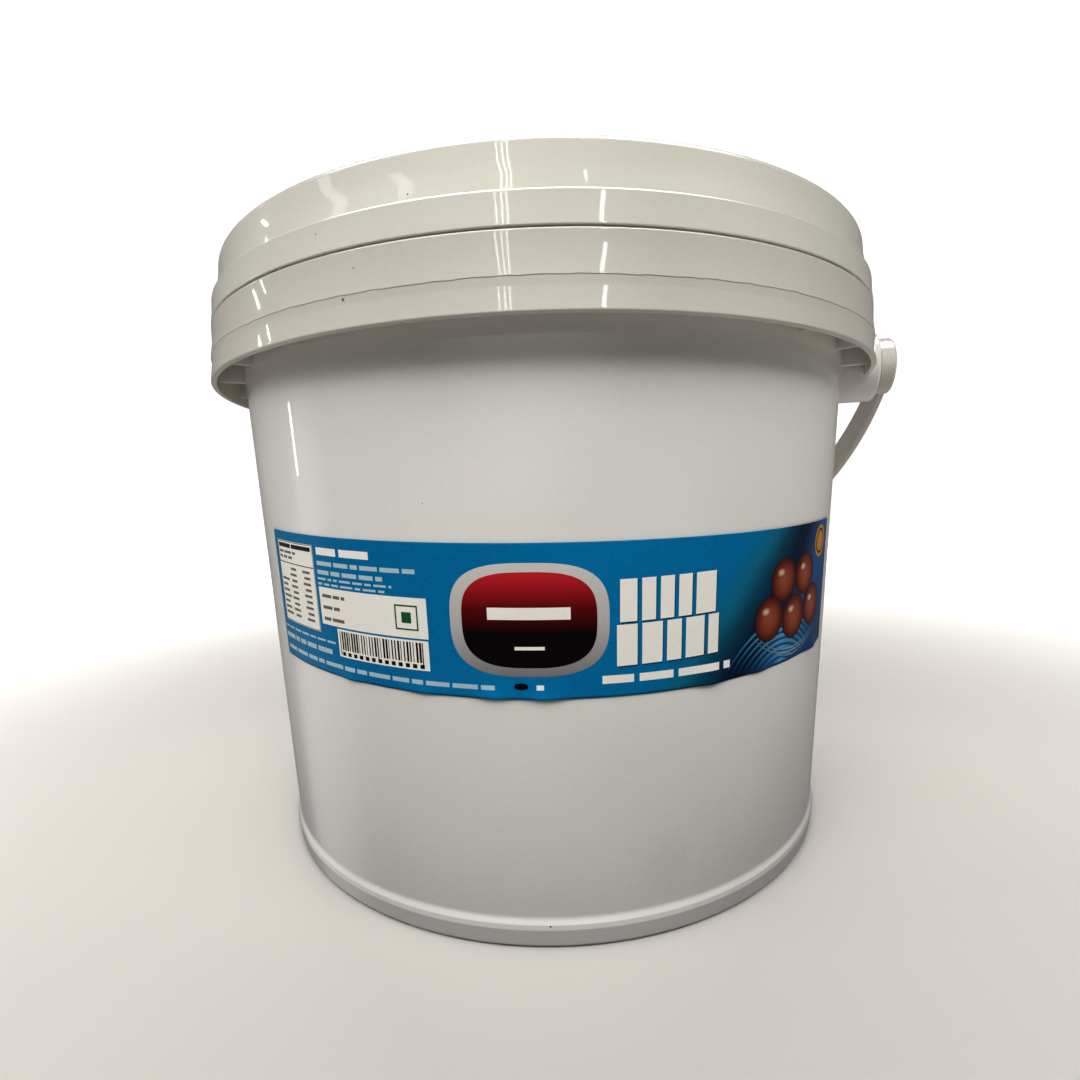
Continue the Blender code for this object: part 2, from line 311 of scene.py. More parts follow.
def make_piece(name, grids, material, uvs=None, weld=True):
    """One mesh object from grids of points, each a (rows, columns, 3) array.

    Neighbouring points of a grid are joined by quads, which face the way that rows cross
    columns. Welding closes seams and draws poles together.
    """
    starts = np.cumsum([0] + [grid.shape[0] * grid.shape[1] for grid in grids])
    faces = []
    for grid, start in zip(grids, starts):
        rows, columns = grid.shape[:2]
        index = start + np.arange(rows * columns).reshape(rows, columns)
        quads = np.stack([index[:-1, :-1], index[1:, :-1], index[1:, 1:], index[:-1, 1:]], -1)
        faces.append(quads.reshape(-1, 4))
    faces = np.concatenate(faces)
    points = np.concatenate([grid.reshape(-1, 3) for grid in grids])
    mesh = bpy.data.meshes.new(name)
    mesh.from_pydata(points, [], faces)
    if uvs is not None:
        flat = np.concatenate([uv.reshape(-1, 2) for uv in uvs])
        layer = mesh.uv_layers.new(name="print")
        layer.data.foreach_set("uv", flat[faces.ravel()].ravel())
    if weld:
        form = bmesh.new()
        form.from_mesh(mesh)
        bmesh.ops.remove_doubles(form, verts=form.verts, dist=1e-6)
        form.to_mesh(mesh)
        form.free()
    mesh.shade_smooth()
    mesh.materials.append(material)
    return add_object(name, mesh)


def carry(piece, body, slot, *replaced):
    """Hangs a finished piece on its body and hides the parts it stands in for."""
    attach(piece, body)
    if replaced:
        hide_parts(*replaced)
    return piece


def wall_radius(height):
    return WALL_LOW[0] + WALL_SLOPE * (height - WALL_LOW[1])


# ---------------------------------------------------------------- materials

def fill(tree, node, sockets):
    """Fills a node's inputs, each with a value or with another node's output."""
    for name, value in sockets.items():
        if isinstance(value, bpy.types.NodeSocket):
            tree.links.new(value, node.inputs[name])
        else:
            node.inputs[name].default_value = value


def add_node(tree, kind, sockets=None, **settings):
    """Adds a node with its own settings and filled inputs, and returns its outputs."""
    node = tree.nodes.new("ShaderNode" + kind)
    for name, value in settings.items():
        setattr(node, name, value)
    fill(tree, node, sockets or {})
    return node.outputs


def noise(tree, place, scale, detail=2.0, roughness=0.5):
    """Fractal noise with so many cells to the metre."""
    return add_node(tree, "TexNoise", {"Vector": place, "Scale": scale, "Detail": detail,
                                       "Roughness": roughness})["Fac"]


def spread(tree, value, low_high, to=(0.0, 1.0), soft=False):
    """Carries one range of a value over to another, evenly or with soft ends."""
    return add_node(tree, "MapRange",
                    {"Value": value, "From Min": low_high[0], "From Max": low_high[1],
                     "To Min": to[0], "To Max": to[1]},
                    interpolation_type='SMOOTHSTEP' if soft else 'LINEAR')[0]


def work_out(tree, operation, *values):
    """One step of arithmetic."""
    return add_node(tree, "Math", dict(enumerate(values)), operation=operation)[0]


def measure(tree, operation, *places):
    """A length, a distance, or how far two directions agree."""
    return add_node(tree, "VectorMath", dict(enumerate(places)), operation=operation)["Value"]


def tinted(tree, colour, strength):
    """A colour times a strength."""
    return add_node(tree, "VectorMath", {0: colour, "Scale": strength}, operation='SCALE')[0]


def colour_run(tree, value, stops):
    """A run of colours: each stop is a position from 0 to 1 and its colour."""
    node = tree.nodes.new("ShaderNodeValToRGB")
    fill(tree, node, {"Fac": value})
    elements = node.color_ramp.elements
    for element, (position, _) in zip(elements, (stops[0], stops[-1])):
        element.position = position
    for position, _ in stops[1:-1]:
        elements.new(position)
    for element, (_, colour) in zip(elements, stops):
        element.color = (rgb(colour) if isinstance(colour, str) else list(colour)) + [1]
    return node.outputs[0]


def new_material(name):
    """A material with its nodes and shader, and the place on the object that its nodes read."""
    material = bpy.data.materials.new(name)
    material.use_nodes = True
    tree = material.node_tree
    place = add_node(tree, "TexCoord")["Object"]
    return material, tree, tree.nodes["Principled BSDF"], place


def moulded_polypropylene(name, colour, roughness, scuff_at=None, collar=None):
    """Injection-moulded polypropylene: an opaque warm white with a wet-looking skin.

    A sharp clear reflection lies over a hazier one, and a faint orange peel 2 mm wide bends both.
    Handling leaves patches some 40 mm across that are a touch duller and greyer, and fine dust.
    """
    material, tree, shader, place = new_material(name)
    patches = noise(tree, place, 20.0, 0.0)
    tone = spread(tree, patches, (0.2, 0.8), (0.965, 1.01), soft=True)
    dust = spread(tree, noise(tree, place, 700.0, 4.0, 0.7), (0.2, 0.8), (1.015, 0.97))
    shade = work_out(tree, 'MULTIPLY', tone, dust)
    if scuff_at is not None:
        near = measure(tree, 'DISTANCE', place, scuff_at)
        smear = noise(tree, place, 150.0, 3.0)
        edge = work_out(tree, 'MULTIPLY_ADD', smear, -0.012, near)
        mark = spread(tree, edge, (-0.004, 0.007), (0.955, 1.0), soft=True)
        shade = work_out(tree, 'MULTIPLY', shade, mark)
    # Painted shade: above the skirt, and on the outer face only, the colour blends to the darker
    # collar colour of the same plastic.
    if collar is not None:
        height = add_node(tree, "SeparateXYZ", {"Vector": place})["Z"]
        above = spread(tree, height, ((SKIRT_Z - 0.5) * MM, (SKIRT_Z + 0.5) * MM))
        level = add_node(tree, "VectorMath", {0: place, 1: (1, 1, 0)}, operation='MULTIPLY')[0]
        outer = spread(tree, measure(tree, 'LENGTH', level),
                       (COLLAR_R - 3.2 * MM, COLLAR_R - 2.2 * MM))
        change = [c - w for c, w in zip(collar, colour)]
        colour = add_node(tree, "VectorMath",
                          {0: change, 1: work_out(tree, 'MULTIPLY', above, outer), 2: colour},
                          operation='MULTIPLY_ADD')[0]
    peel = noise(tree, place, 420.0, 1.0)
    hazy, clear = [add_node(tree, "Bump", {"Height": peel, "Strength": strength,
                                           "Distance": 0.05 * MM})[0] for strength in (0.12, 0.04)]
    fill(tree, shader, {
        "Base Color": tinted(tree, colour, shade), "Normal": hazy,
        "Roughness": spread(tree, patches, (0.2, 0.8), (roughness, roughness + 0.08), soft=True),
        "IOR": 1.49, "Specular IOR Level": 0.12,
        "Coat Weight": 0.8, "Coat Roughness": 0.04, "Coat Normal": clear})
    return material


def film_ground(looks):
    """Printed polypropylene film: a saturated blue ground under a satin varnish.

    Along the strip (U) the ground turns to navy past three quarters of its length, with a teal
    glow at the turn. The print is slightly uneven, as offset ink on film is.
    """
    material, tree, shader, place = new_material("printed_polypropylene_film")
    axes = add_node(tree, "SeparateXYZ", {"Vector": add_node(tree, "UVMap", uv_map="print")[0]})
    cloud = noise(tree, place, 28.0)
    lean = work_out(tree, 'MULTIPLY_ADD', axes[1], -0.16, axes[0])
    drift = work_out(tree, 'MULTIPLY_ADD', cloud, 0.04, lean)
    blue, navy = looks.field, looks.night
    ground = colour_run(tree, drift, (
        (0.0, [c * 0.93 for c in blue]), (0.25, blue), (0.42, [c * 1.10 for c in blue]),
        (0.62, blue), (0.665, "#1c7b98"), (0.70, "#15566f"), (0.745, navy), (0.775, navy),
        (0.84, "#2a5e94"), (1.0, "#1d3f6a")))
    speckle = spread(tree, noise(tree, place, 900.0), (0.3, 0.7), (0.93, 1.05))
    fill(tree, shader, {"Base Color": tinted(tree, ground, speckle),
                        "Roughness": spread(tree, cloud, (0.3, 0.7), (0.29, 0.38)),
                        "Specular IOR Level": 0.12})
    return material


def ink(name, *stops, across="U", roughness=0.38):
    """Offset ink under varnish: one colour, or a blend of several across each printed shape.

    A stop is a colour, or a position from 0 to 1 with its colour. The blend runs along the shape
    (U), up it (V) or from its middle to its rim (R). Ink on film is never quite even, so a 1 mm
    grain changes its strength by a few parts in a hundred.
    """
    material, tree, shader, place = new_material(name)
    uv = add_node(tree, "UVMap", uv_map="print")[0]
    if across == "R":
        run = measure(tree, 'DISTANCE', uv, (0.5, 0.5, 0.0))
    else:
        run = add_node(tree, "SeparateXYZ", {"Vector": uv})["UV".index(across)]
    if len(stops) == 1:
        stops = ((0.0, stops[0]), (1.0, stops[0]))
    strength = spread(tree, noise(tree, place, 1000.0), (0.3, 0.7), (0.98, 1.01))
    fill(tree, shader, {"Base Color": tinted(tree, colour_run(tree, run, stops), strength),
                        "Roughness": roughness, "Specular IOR Level": 0.15})
    return material


# ---------------------------------------------------------------- pail

def shell_profile():
    """The pail's section, from the middle of the hidden neck down the outside to the axis."""
    skirt_in = COLLAR_R / MM - SKIRT_WALL
    under_r = STEP_R - STEP_OUT
    return rounded_path([
        (0, NECK_TOP, 0), (NECK_R, NECK_TOP, 1.0), (NECK_R, LIP_TOP, 0.8),
        (LIP_R, LIP_TOP, 0.1), (LIP_R + 0.05, COLLAR_TOP, 0.05),
        (COLLAR_TOP_R, COLLAR_TOP, 0.65), (STEP_R + 0.05, STEP_Z + 0.1, 0.12),
        (under_r, STEP_Z - 0.1, 0.08), (under_r + 0.15, STEP_Z - 2.4, 2.0),
        (COLLAR_R / MM, SKIRT_Z, 0.7), (skirt_in, SKIRT_Z, 0.4),
        (skirt_in - 0.9, GROOVE_TOP, 2.0), (wall_radius(GROOVE_TOP), GROOVE_TOP, 2.0),
        (WALL_LOW[0] + 0.05, WALL_LOW[1] + 0.4, 3.0), (BEAD_R - 0.2, BEAD_Z + 1.0, 0.5),
        (BEAD_R, BEAD_Z - 0.6, 0.7), (FOOT_R + 0.75, 1.0, 1.5), (FOOT_R - 0.4, 0, 1.0),
        (0, 0, 0)])


def make_shell(looks):
    """Turned shell with hollow collar bands, and slow waves that come and go up the wall.

    Its parting line wanders: a ripple in height that dies away within 1 mm of the line.
    """
    def wave(angle, profile):
        radius, height = profile[None, :, 0], profile[None, :, 1]
        outside = (radius > wall_radius(0)) & (height > WAVE_FROM)
        slow = ripple(angle, 3, (2, 3, 5, 7), looks.unevenness / MM)
        out = slow * outside * np.sin(height / WAVE_PITCH)
        lower, upper = COLLAR_SINK
        out = out + (radius > LIP_R) * (sink(height, SKIRT_Z + 0.6, STEP_Z, lower)
                                        + sink(height, STEP_Z, COLLAR_TOP - 0.6, upper))
        near_step = np.exp(-((height - STEP_Z) / 0.9) ** 2) * (radius > 145)
        ragged = ripple(angle, 11, FLASH_COUNTS, looks.flash / MM)
        return out, ragged * near_step

    # The collar band of the shell is painted a darker shade of the same plastic.
    plastic = moulded_polypropylene("moulded_polypropylene_pail", looks.shell, 0.29,
                                    scuff_at=SCUFF_AT, collar=looks.collar)
    grid = revolve(shell_profile(), looks.segments, wave)
    shell = make_piece("pail_shell", [grid], plastic)
    carry(shell, "pail", "pail_plastic", "pail")


def make_flash(looks):
    """Torn sliver of plastic along the parting line: a thin fin of uneven reach.

    Its section is a flat loop. Where the line is torn, a clipped ripple draws the loop outwards
    and lets it droop.
    """
    angle = np.linspace(0, TURN, 1441)[:, None]
    ragged = ripple(angle, 11, FLASH_COUNTS, looks.flash / MM)
    tear = np.clip(ripple(angle, 23, TEAR_COUNTS, 0.38) - 0.20, 0.0, 0.5)
    around = np.linspace(0, TURN, 7)[None, :]
    radius = STEP_R - 0.25 + (tear * 0.5 + 0.1) * (1 + np.cos(around)) / 2
    height = STEP_Z + 0.05 + ragged + 0.08 * np.sin(around) - tear * 0.45
    # The flash takes the collar's colour, a painted shade of the wall's plastic.
    plastic = moulded_polypropylene("torn_flash", looks.collar, 0.35)
    flash = make_piece("parting_flash", [polar(radius, angle, height)], plastic)
    carry(flash, "pail", "pail_plastic")


def make_ribs(looks):
    """Thin radial ribs in the groove: a U-shaped lower edge drawn from the wall to the skirt."""
    low = SKIRT_Z + RIB_LIFT
    half = RIB_WIDTH / 2
    bend = np.linspace(0, math.pi, 9)
    across = np.concatenate([[half], half * np.cos(bend), [-half]])
    height = np.concatenate([[GROOVE_TOP + 1], low + half - half * np.sin(bend),
                             [GROOVE_TOP + 1]])
    reach = np.array([wall_radius(low) - RIB_BITE[0], COLLAR_R / MM - SKIRT_WALL + RIB_BITE[1]])
    grids = []
    for index in range(RIB_COUNT):
        turn = math.radians(RIB_FIRST_DEG + 360 / RIB_COUNT * index)
        along, side = np.meshgrid(reach, across, indexing="ij")
        x = along * math.cos(turn) - side * math.sin(turn)
        y = along * math.sin(turn) + side * math.cos(turn)
        z = np.repeat(height[None], len(reach), 0)
        grids.append(np.stack([x, y, z], -1)[:, ::-1] * MM)
    plastic = moulded_polypropylene("moulded_polypropylene_ribs", looks.shell, 0.30)
    ribs = make_piece("collar_ribs", grids, plastic, weld=False)
    carry(ribs, "pail", "pail_plastic")


def make_pair(name, profile, plastic, body, slot):
    """The same piece on the right and the left, turned about the hinge axis.

    Its profile holds the distance from the hinge axis and the station along it.
    """
    grid = revolve(profile, 96)
    for side, sign in (("right", 1), ("left", -1)):
        x, y, z = grid[..., 2] * sign, grid[..., 0], grid[..., 1] * sign
        turned = np.stack([x, y + HINGE[1], z + HINGE[2]], -1)
        carry(make_piece(name + side, [turned], plastic), body, slot)


def make_ears(looks):
    """A round ear on each side of the collar, with the bore that the handle's pin turns in."""
    plastic = moulded_polypropylene("moulded_polypropylene_ears", looks.shell, 0.29)
    root_x = WALL_HIGH[0] - 1
    profile = rounded_path([(0, BORE_END_X, 0), (BORE_R, BORE_END_X, 0.3),
                            (BORE_R, EAR_FACE_X, 0.5), (EAR_R, EAR_FACE_X, 1.2),
                            (EAR_R, root_x, 0), (0, root_x, 0)], step=3)
    make_pair("ear_", profile[::-1], plastic, "pail", "pail_plastic")


def make_lid(looks):
    """Turned lid: sunk panel, flat rim, and two outer bands with a small step between them.

    The bands are drawn in by half sines and slow waves round the axis. The panel sags by a wave
    that grows with the square of the distance from the axis.
    """
    rim_in = LID_TOP_R - LID_RIM_WIDTH
    top = HEIGHT / MM
    panel = top - LID_PANEL_DEPTH
    profile = rounded_path([
        (0, panel, 0), (rim_in - 3.0, panel, 2.0), (rim_in - 0.3, top, 1.4),
        (LID_TOP_R + 0.15, top, 2.2), (LID_BAND_R - 1.7, LID_STEP_Z + 0.9, 0.25),
        (LID_BAND_R - 0.7, LID_STEP_Z + 0.7, 0.85), (LID_BAND_R + 0.1, LID_EDGE_Z, 0.3),
        (NECK_R + LID_GAP, LID_EDGE_Z, 0.5), (NECK_R + LID_GAP, NECK_TOP + LID_GAP, 1.0),
        (0, NECK_TOP + LID_GAP, 0)])

    def wave(angle, profile):
        radius, height = profile[None, :, 0], profile[None, :, 1]
        side = (radius > LID_TOP_R) & (height > LID_EDGE_Z)
        slow = ripple(angle, 5, (2, 3, 4, 9), looks.unevenness / MM)
        slow = slow + sink(height, LID_EDGE_Z + 0.6, LID_STEP_Z, LID_SINK[0])
        slow = slow + sink(height, LID_STEP_Z + 1.6, top - 2.0, LID_SINK[1])
        sag = ripple(angle, 8, (1, 2), 0.12) * (radius / rim_in) ** 2 * (radius < rim_in - 4)
        top_side = height > panel - 0.1
        return slow * side, sag * top_side

    plastic = moulded_polypropylene("moulded_polypropylene_lid", looks.lid, 0.285)
    lid = make_piece("lid_shell", [revolve(profile, looks.segments, wave)], plastic)
    carry(lid, "pail", "lid_plastic", "lid")


def make_handle(looks):
    """Strap on half an ellipse in the hanging plane, its section a flat bar with raised edges."""
    plastic = moulded_polypropylene("moulded_polypropylene_handle", looks.handle, 0.29)
    section = rounded_path([(0, -STRAP_THICK / 2, 0), (STRAP_WIDTH / 2, -STRAP_THICK / 2, 0.8),
                            (STRAP_WIDTH / 2, STRAP_THICK / 2, 0.6),
                            (STRAP_WIDTH / 2 - 1.7, STRAP_THICK / 2, 0.4),
                            (STRAP_WIDTH / 2 - 2.1, STRAP_THICK / 2 - 0.6, 0.3),
                            (0, STRAP_THICK / 2 - 0.6, 0)], step=3, arc_steps=3)
    section = np.concatenate([section, (section * (-1, 1))[::-1][1:]])
    angle = np.linspace(0, math.pi, 181)[:, None]
    size = np.ones_like(angle)
    size[[0, -1]] = 0.0
    along = np.stack([HANDLE_HALF_WIDTH * np.cos(angle), HANDLE_REACH * np.sin(angle)], -1)
    normal = np.stack([np.cos(angle) / HANDLE_HALF_WIDTH, np.sin(angle) / HANDLE_REACH], -1)
    normal /= np.linalg.norm(normal, axis=-1, keepdims=True)
    plane = along + normal * (section[None, :, 1] * size)[..., None]
    x, reach = plane[..., 0], plane[..., 1]
    side = section[None, :, 0] * size
    y = reach * math.cos(HANDLE_HANG) + side * math.sin(HANDLE_HANG)
    z = -reach * math.sin(HANDLE_HANG) + side * math.cos(HANDLE_HANG)
    grid = np.stack([x, y, z], -1) * MM + np.array(HINGE)
    strap = make_piece("handle_strap", [grid], plastic)
    carry(strap, "handle", "handle_plastic", "bail")
    hub_out = HANDLE_X / MM
    profile = rounded_path([(0, PIN_END_X, 0), (PIN_R, PIN_END_X, 0.6),
                            (PIN_R, HUB_INNER_X, 0.3), (HUB_R, HUB_INNER_X, 0.5),
                            (HUB_R, hub_out, 1.2), (HUB_R - 4.5, hub_out, 0.4),
                            (HUB_R - 5.2, hub_out - 0.7, 0.4), (0, hub_out - 0.7, 0)], step=3)
    make_pair("handle_hub_", profile, plastic, "handle", "handle_plastic")


# ---------------------------------------------------------------- label

def on_strip(along, rise, lift=0.0):
    """Points of the label, from arc length and rise in millimetres.

    On an unrolled cone a straight strip bends off the level circle by the square of the arc
    length over twice the slant length. Its lower edge is too long for the narrower wall below,
    so it stands off in puckers: bell curves along the edge that die away within 9 mm up.
    """
    slant = LABEL_R / math.sin(math.atan(WALL_SLOPE))
    height = LABEL_LOW_Z + rise + along ** 2 / (2 * slant) + LABEL_TILT * along
    angle = LABEL_MID + along / LABEL_R
    pucker = bpy.context.scene.food_label.pucker / MM
    off = FILM_CLEAR + FILM_THICK + lift
    for centre, width, share in PUCKERS:
        bell = np.exp(-((along - centre) / width) ** 2)
        off = off + pucker * share * bell * np.exp(-np.maximum(rise, 0) / 3.2)
    crease = np.exp(-((along + 32.5 + (rise - 30) * 0.12) / 1.6) ** 2)
    off = off + 0.12 * crease * np.exp(-((rise - 32) / 14) ** 2)
    return polar(wall_radius(height) + off, angle, height)


def patch(left, right, low, high, step=1.2):
    """A rectangle on the strip: its arc lengths, rises and own 0 to 1 coordinates."""
    columns = max(2, int((right - left) / step) + 2)
    rows = max(2, int((high - low) / step) + 2)
    u, v = np.meshgrid(np.linspace(0, 1, columns), np.linspace(0, 1, rows), indexing="ij")
    return left + (right - left) * u, low + (high - low) * v, u, v


def slanted(left, right, low, high, lean):
    """A rectangle whose right end is raised by lean."""
    along, rise, u, v = patch(left, right, low, high)
    return along, rise + lean * u, u, v


def rounded(middle, rise, half_width, half_height, power=2.0, steps=22):
    """A superellipse on the strip.

    A square grid is drawn in: each point keeps its direction from the middle, and its distance
    is scaled by the larger of |x| and |y| over the power norm of x and y.
    """
    line = np.linspace(-1, 1, steps + 1)
    x, y = np.meshgrid(line, line, indexing="ij")
    norm = (np.abs(x) ** power + np.abs(y) ** power) ** (1 / power)
    scale = np.maximum(np.abs(x), np.abs(y)) / np.where(norm > 0, norm, 1)
    x, y = x * scale, y * scale
    return middle + half_width * x, rise + half_height * y, 0.5 + 0.5 * x, 0.5 + 0.5 * y


def round_band(middle, rise, outer, inner, spokes=60):
    """A flat ring on the strip between two radii."""
    t, reach = np.meshgrid(np.linspace(TURN, 0, spokes + 1), np.array([inner, outer]),
                           indexing="ij")
    x, y = reach * np.cos(t), reach * np.sin(t)
    return middle + x, rise + y, 0.5 + 0.5 * x / outer, 0.5 + 0.5 * y / outer


def print_shapes(name, material, shapes, layer=1):
    """One piece of ink from several flat shapes, laid on the film."""
    grids = [on_strip(along, rise, INK_LIFT * layer) for along, rise, _, _ in shapes]
    uvs = [np.stack([u, v], -1) for _, _, u, v in shapes]
    piece = make_piece(name, grids, material, uvs, weld=False)
    return carry(piece, "pail", "printed_film")


def word_bars(left, right, low, high, seed, mean=5.0, gap=1.0):
    """A line of print with nothing to read: plain bars of uneven length."""
    rng = np.random.default_rng(seed)
    bars = []
    start = left
    while start < right - 0.5:
        end = min(right, start + mean * rng.uniform(0.45, 1.5))
        bars.append(patch(start, end, low, high))
        start = end + gap
    return bars


def lines_of_bars(lines):
    """Several lines of plain bars, each from its own numbers."""
    return [bar for line in lines for bar in word_bars(*line)]


def make_film(looks):
    """The strip itself, a sheet with a real thickness, closed at its edges."""
    along, rise, u, v = patch(LABEL_LEFT, LABEL_RIGHT, 0, LABEL_HEIGHT, step=0.8)
    grid = on_strip(along, rise)
    film = make_piece("label_film", [grid], film_ground(looks), [np.stack([u, v], -1)],
                      weld=False)
    thick = film.modifiers.new("thickness", 'SOLIDIFY')
    thick.thickness = FILM_THICK * MM
    thick.offset = -1.0
    carry(film, "pail", "printed_film", "label")


def make_panels(looks):
    """White table, white data panel and white code field."""
    print_shapes("label_panels", ink("white_ink_panels", looks.white),
                 [patch(*field) for field in (TABLE, DATA_PANEL, CODE_FIELD)])


def outline(left, right, low, high, thick):
    """Four thin bars round a rectangle."""
    return [patch(left, left + thick, low, high), patch(right - thick, right, low, high),
            patch(left + thick, right - thick, low, low + thick),
            patch(left + thick, right - thick, high - thick, high)]


def make_small_print():
    """Rows of plain bars where the small print stands, and a code of plain stripes."""
    bars = [patch(-107.2, -96.6, 42.4, 43.9), patch(-95.8, -82.2, 42.4, 43.9),
            patch(-108.0, -81.2, 36.6, 36.9)]
    rng = np.random.default_rng(4)
    left, right, low, _ = CODE_FIELD
    for stripe in np.arange(left + 2.0, right - 2.4, 1.15):
        bars.append(patch(stripe, stripe + rng.choice((0.25, 0.45, 0.7)), low + 2.5, low + 9.0))
    for stripe in np.arange(left + 1.8, right - 2.8, 2.7):
        bars.append(patch(stripe, stripe + 1.5, low + 0.6, low + 1.9))
    for stripe in (left + 1.0, -53.0, right - 2.4):
        bars.append(patch(stripe, stripe + 0.35, low + 0.6, low + 9.0))
    for low, high in ((14.5, 14.7), (44.5, 44.7)):
        bars.append(patch(-108.2, -81.0, low, high))
    for left in (-108.2, -81.2):
        bars.append(patch(left, left + 0.2, 14.5, 44.7))
    print_shapes("label_black_print", ink("black_ink", "#1c1d20"), bars, layer=2)

    lines = lines_of_bars(TABLE_LINES)
    for row in range(9):
        low = 34.3 - 2.15 * row
        if row > 1:
            lines.append(patch(-107.0, -102.5 + row % 3, low, low + 0.9))
        lines.append(patch(-98.0 - row % 2, -93.8, low, low + 0.9))
        lines.append(patch(-89.0 + row % 2, -84.0, low, low + 0.9))
    lines += lines_of_bars(DATA_LINES)
    print_shapes("label_grey_print", ink("grey_ink", "#77756f"), lines, layer=2)
    left, right, low, high = MARK
    print_shapes("label_green_mark", ink("green_ink", "#2c6b45"),
                 outline(*MARK, 0.5) + [patch(left + 2.4, right - 2.4, low + 2.3, high - 2.3)],
                 layer=2)
    print_shapes("label_marker_blot", ink("marker_ink", "#0e1016", roughness=0.5),
                 [rounded(-4.4, 4.1, 2.1, 1.0, power=2.6)], layer=2)


def make_white_print(looks):
    """White bars for the headings and the lines of print on the blue ground."""
    bars = [patch(-78.6, -68.2, 41.9, 44.5), patch(-66.6, -53.6, 41.9, 44.5)]
    bars += word_bars(*COUNT_LINE)[3:] + word_bars(*SLOGAN_LINE)
    print_shapes("label_white_bars", ink("white_ink_bars", looks.white), bars)
    print_shapes("label_pale_lines", ink("pale_blue_ink", "#bcd2da"), lines_of_bars(PALE_LINES))


def make_title(looks):
    """Two rising rows of plain white blocks with a thin dark edge below each."""
    blocks, shades = [], []
    rng = np.random.default_rng(6)
    for low, left, right, lean, tall in TITLE_ROWS:
        share = rng.uniform(0.7, 1.4, 5)
        ends = left + (right - left) * np.cumsum(share) / share.sum()
        for start, end in zip(np.concatenate([[left], ends[:-1]]), ends):
            width = end - start - 1.5
            base = low + lean * (start - left) / (right - left)
            tilt = lean * width / (right - left)
            blocks.append(slanted(start, start + width, base, base + tall, tilt))
            shades.append(slanted(start + 0.3, start + width + 0.3, base - 0.4, base + tall - 0.4,
                                  tilt))
    print_shapes("label_title_shade", ink("title_shade", "#08395a"), shades)
    print_shapes("label_title_blocks", ink("white_ink_title", looks.white), blocks, layer=2)


def make_badge(looks):
    """A plain plaque: pale rim, ground that turns from red to black, a long and a short bar."""
    silver = ink("silver_ink", (0.0, "#8d8c8c"), (0.45, "#c3c1be"), (1.0, "#dad8d4"), across="V",
                 roughness=0.32)
    ground = ink("red_to_black_ink", (0.36, "#161012"), (0.62, "#6e151d"), (0.97, "#c9353f"),
                 across="V")
    print_shapes("label_badge_rim", silver, [rounded(*BADGE_MID, 24.4, 17.6, BADGE_POWER)])
    print_shapes("label_badge_ground", ground, [rounded(*BADGE_MID, 20.6, 14.8, BADGE_POWER)],
                 layer=2)
    print_shapes("label_badge_bars", ink("white_ink_badge", looks.white),
                 [patch(-14.0, 11.2, 25.0, 28.8), patch(-6.0, 3.2, 15.6, 16.7)], layer=3)


def arcs(middle, rise, first, pitch, count, start_deg, stop_deg, squash, thick):
    """Concentric arcs: reach * cos along the strip and squash * reach * sin up it.

    Each thickens to its middle. Arcs round a point below the label start and stop where they
    come within 0.8 mm of its lower edge.
    """
    shapes = []
    for reach in first + pitch * np.arange(count):
        begin, end = math.radians(start_deg), math.radians(stop_deg)
        if rise < 0:
            low = math.asin(min(1.0, (0.8 - rise) / (squash * reach)))
            begin, end = max(begin, low), min(end, math.pi - low)
        t, across = np.meshgrid(np.linspace(begin, end, 40), np.array([0.0, 0.5, 1.0]),
                                indexing="ij")
        swell = np.sin(math.pi * (t - begin) / (end - begin))
        out = reach + thick * swell * (across - 0.5)
        along = middle + out * np.cos(t)
        high = rise + squash * out * np.sin(t)
        shapes.append((along[:, ::-1], high[:, ::-1], (t - begin) / (end - begin), across))
    return shapes


def make_painted_edge_highlight():
    """A pale hair line along the film's top edge and both ends: a painted highlight where the cut
    edge lifts and catches the light.
    """
    print_shapes("label_cut_edge", ink("film_core", "#e9e9e4"),
                 [patch(LABEL_LEFT, LABEL_RIGHT, LABEL_HEIGHT - 0.22, LABEL_HEIGHT),
                  patch(LABEL_RIGHT - 0.45, LABEL_RIGHT, 0, LABEL_HEIGHT),
                  patch(LABEL_LEFT, LABEL_LEFT + 0.3, 0, LABEL_HEIGHT)])


def make_picture():
    """The dark end: pale ripples, five glossy brown rounds over a glassy dish, a gold disc."""
    cyan = ink("pale_ripple_ink", (0.0, "#2a83ad"), (0.5, "#5ba7c6"), (1.0, "#1d6590"))
    print_shapes("label_ripples", cyan, arcs(92, -16, 17.5, 2.2, 8, 40, 150, 1.0, 1.3))
    brown = ink("brown_gloss_ink", (0.0, "#a55f45"), (0.22, "#95503a"), (0.40, "#6d3226"),
                (0.52, "#33150f"), across="R")
    for name, rounds, layer in (("above", FAR_ROUNDS, 2), ("below", NEAR_ROUNDS, 3)):
        print_shapes("label_rounds_" + name, brown,
                     [rounded(along, rise, size, size) for along, rise, size in rounds], layer)
    print_shapes("label_round_glints",
                 ink("cream_glint_ink", (0.0, "#e3d0bb"), (0.5, "#9a6048"), across="R"),
                 [rounded(along - 2.2, rise + 2.8, 2.3, 1.5, steps=8)
                  for along, rise, _ in FAR_ROUNDS + NEAR_ROUNDS], 4)
    glass = ink("glass_grey_ink", (0.0, "#3c5a70"), (0.5, "#9db4c0"), (1.0, "#4a6b80"))
    print_shapes("label_dish", glass, arcs(100.0, 20.0, 25.0, 1.8, 2, 200, 340, 0.62, 0.8)
                 + arcs(100.0, 16.0, 22.5, 1.4, 1, 218, 322, 0.62, 0.6), 4)
    middle, rise, size = DISC
    print_shapes("label_gold_disc", ink("gold_ink", "#bf9346"),
                 [rounded(middle, rise, size, size)], 2)
    print_shapes("label_gold_ring", ink("deep_gold_ink", "#5c2c18"),
                 [round_band(middle, rise, 4.8, 4.0)], 3)


# ---------------------------------------------------------------- marks

